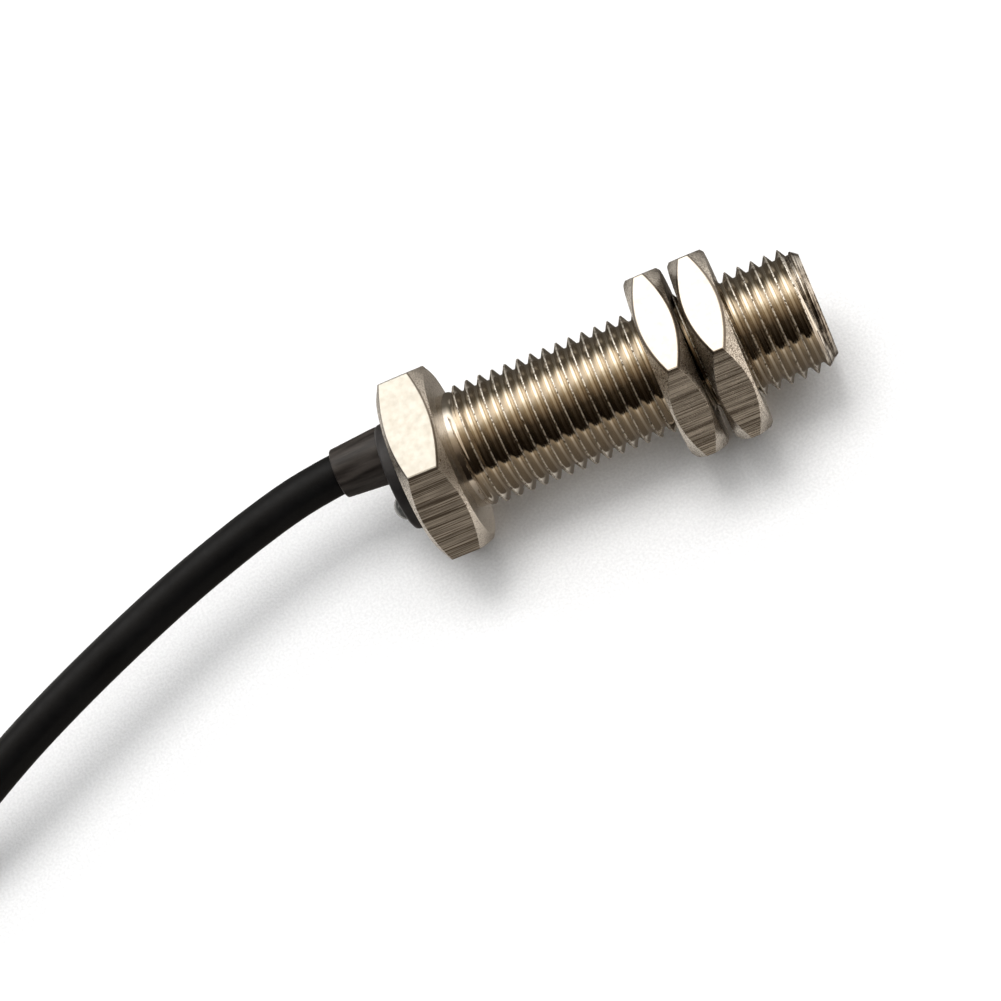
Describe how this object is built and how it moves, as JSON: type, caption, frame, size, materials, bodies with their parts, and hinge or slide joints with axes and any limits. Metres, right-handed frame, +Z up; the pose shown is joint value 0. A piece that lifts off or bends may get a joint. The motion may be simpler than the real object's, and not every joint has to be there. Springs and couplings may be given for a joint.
{
  "type": "proximity sensor",
  "caption": "Cylindrical threaded proximity sensor with a hex head, jam nuts for panel clamping, an indicator lamp and a round flying-lead cable.",
  "frame": {"origin": "on the surface the sensor rests on, under the middle of its length from the strain relief's free end to the sensing face", "axes": "+X along the barrel towards the sensing face, +Z up, +Y to the left of the barrel seen from the cable end; the barrel axis is 10.12 mm above the surface"},
  "size_m": [0.1861, 0.0648, 0.0241],
  "materials": {
    "nickel_plated_brass": "bright turned nickel plate on brass",
    "nut_nickel": "nickel plate over fine drawn and milled lines",
    "cap_plastic": "moulded black polyamide",
    "seal_rubber": "nitrile rubber",
    "lamp_lens": "smoky diffused epoxy, unlit",
    "tinned_wire": "tinned copper",
    "relief_rubber": "moulded dark thermoplastic, faintly streaked",
    "insulation_brown": "brown PVC insulation",
    "insulation_blue": "blue PVC insulation",
    "insulation_black": "black PVC insulation",
    "potting_resin": "cast epoxy",
    "board_laminate": "green solder mask on glass epoxy",
    "chip_black": "moulded epoxy package",
    "tantalum_yellow": "moulded tantalum capacitor",
    "ceramic_tan": "ceramic",
    "resistor_film": "glazed film on ceramic",
    "solder_tin": "bright solder",
    "face_plastic": "moulded black PBT",
    "ferrite": "sintered ferrite",
    "bobbin_plastic": "natural moulded plastic",
    "enamelled_copper": "enamelled copper wire",
    "cable_jacket": "matte black PVC jacket",
    "tie_nylon": "black nylon"
  },
  "bodies": {
    "sensor": {"barrel": "nickel_plated_brass", "rear_cap": "cap_plastic", "cap_seal": "seal_rubber", "indicator_lamp": "lamp_lens", "lamp_lead_anode": "tinned_wire", "lamp_lead_cathode": "tinned_wire", "strain_relief": "relief_rubber", "core_brown": "insulation_brown", "core_blue": "insulation_blue", "core_black": "insulation_black", "potting_disc": "potting_resin", "circuit_board": "board_laminate", "sensor_ic": "chip_black", "output_transistor": "chip_black", "protection_diode": "chip_black", "voltage_regulator": "chip_black", "supply_capacitor": "tantalum_yellow", "chip_capacitor_1": "ceramic_tan", "chip_capacitor_2": "ceramic_tan", "chip_resistor_1": "resistor_film", "chip_resistor_2": "resistor_film", "chip_resistor_3": "resistor_film", "chip_resistor_4": "resistor_film", "solder_brown": "solder_tin", "solder_blue": "solder_tin", "solder_black": "solder_tin", "sensing_face": "face_plastic", "ferrite_core": "ferrite", "coil_bobbin": "bobbin_plastic", "coil_winding": "enamelled_copper", "core_holder": "bobbin_plastic", "winding_lead_start": "enamelled_copper", "winding_lead_finish": "enamelled_copper", "cable": "cable_jacket", "cable_coil": "cable_jacket", "cable_tail": "cable_jacket", "coil_tie": "tie_nylon", "tail_core_brown": "insulation_brown", "tail_core_blue": "insulation_blue", "tail_core_black": "insulation_black", "tail_tip_brown": "tinned_wire", "tail_tip_blue": "tinned_wire", "tail_tip_black": "tinned_wire"},
    "rear_nut": {"rear_nut": "nut_nickel"},
    "front_nut": {"front_nut": "nut_nickel"}
  },
  "joints": [
    {"name": "rear_nut_travel", "type": "slide", "parent": "sensor", "child": "rear_nut", "axis": [1, 0, 0], "range_m": [-0.0213, 0.0004]},
    {"name": "front_nut_travel", "type": "slide", "parent": "sensor", "child": "front_nut", "axis": [1, 0, 0], "range_m": [-0.0004, 0.0074]}
  ]
}
